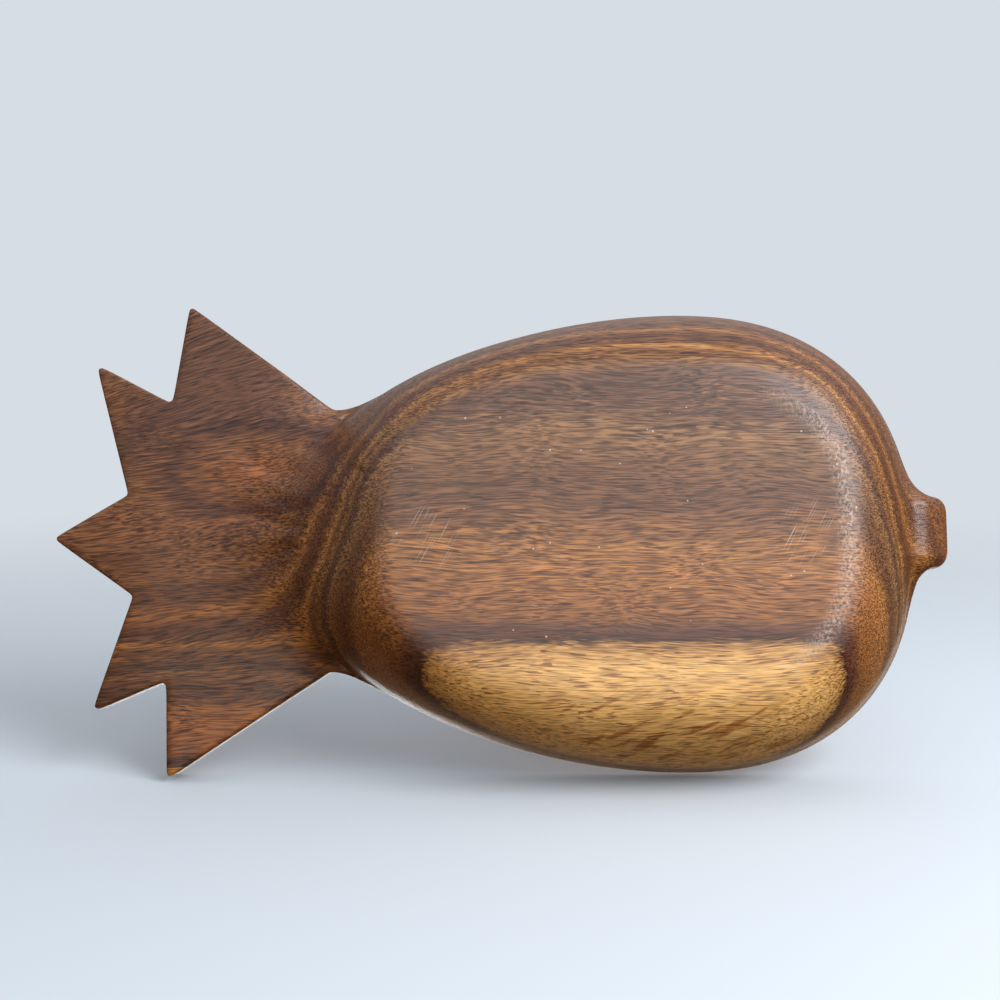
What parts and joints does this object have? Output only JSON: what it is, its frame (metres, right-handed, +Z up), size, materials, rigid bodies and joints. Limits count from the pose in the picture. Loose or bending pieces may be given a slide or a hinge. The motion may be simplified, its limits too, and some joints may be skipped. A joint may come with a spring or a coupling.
{
  "type": "serving bowl",
  "caption": "Shallow carved wooden serving bowl in the shape of a pineapple, with a flat pointed leaf crown at one end and a short stem nub at the other.",
  "frame": {"origin": "centre of the bounding box in plan, at the flat foot that the bowl rests on", "axes": "+Z up, out of the hollow; +X from the leaf crown to the stem nub"},
  "size_m": [0.3488, 0.1834, 0.048],
  "materials": {
    "wood": "satin lacquer"
  },
  "bodies": {
    "root": {"bowl": "wood"}
  },
  "joints": []
}
